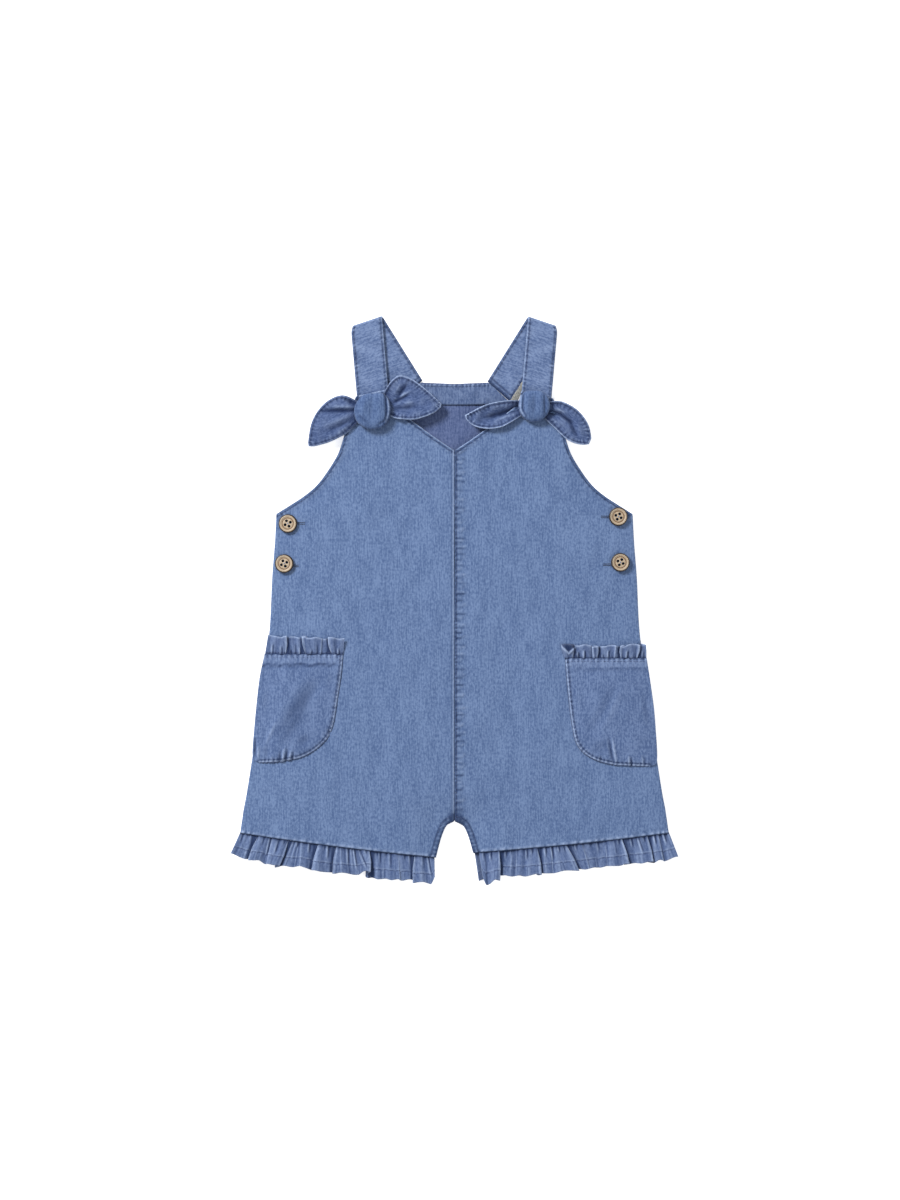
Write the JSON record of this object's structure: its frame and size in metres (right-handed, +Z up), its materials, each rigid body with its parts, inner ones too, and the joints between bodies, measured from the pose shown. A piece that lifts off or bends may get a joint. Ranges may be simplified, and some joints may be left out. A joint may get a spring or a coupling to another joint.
{
  "type": "baby romper",
  "caption": "Sleeveless baby romper in light chambray, laid flat: bow-tied straps, V neck, side buttons, rounded patch pockets and gathered ruffles at the leg hems.",
  "frame": {"origin": "on the surface the garment lies on, under the centre of its bounding box", "axes": "+X across the garment to the right as seen from above, +Y from the leg hems to the shoulder straps, +Z up from the surface, out of the front"},
  "size_m": [0.3224, 0.4086, 0.014],
  "materials": {
    "chambray": "washed indigo chambray, matt, paler along worn seams",
    "chambray_inside": "inside face of the same chambray, darker and unbleached",
    "chambray_ruffle": "the same chambray gathered, with worn edges",
    "thread": "overlocking thread, greyed beige",
    "button": "coconut shell, satin, with a dark rim"
  },
  "bodies": {
    "root": {"front_panel_left": "chambray", "front_panel_right": "chambray", "back_panel": "chambray_inside", "back_neck_facing": "chambray_inside", "strap_left": "chambray", "strap_right": "chambray", "bow_ear_outer_left": "chambray", "bow_ear_inner_left": "chambray", "bow_ear_inner_right": "chambray", "bow_ear_outer_right": "chambray", "bow_knot_left": "chambray", "bow_knot_right": "chambray", "pocket_left": "chambray", "pocket_right": "chambray", "pocket_ruffle_left": "chambray_ruffle", "pocket_ruffle_right": "chambray_ruffle", "hem_ruffle_front_left": "chambray_ruffle", "hem_ruffle_front_right": "chambray_ruffle", "hem_ruffle_back_left": "chambray_ruffle", "hem_ruffle_back_right": "chambray_ruffle", "button_upper_left": "button", "button_lower_left": "button", "button_upper_right": "button", "button_lower_right": "button", "armhole_overlock_right": "thread"}
  },
  "joints": []
}
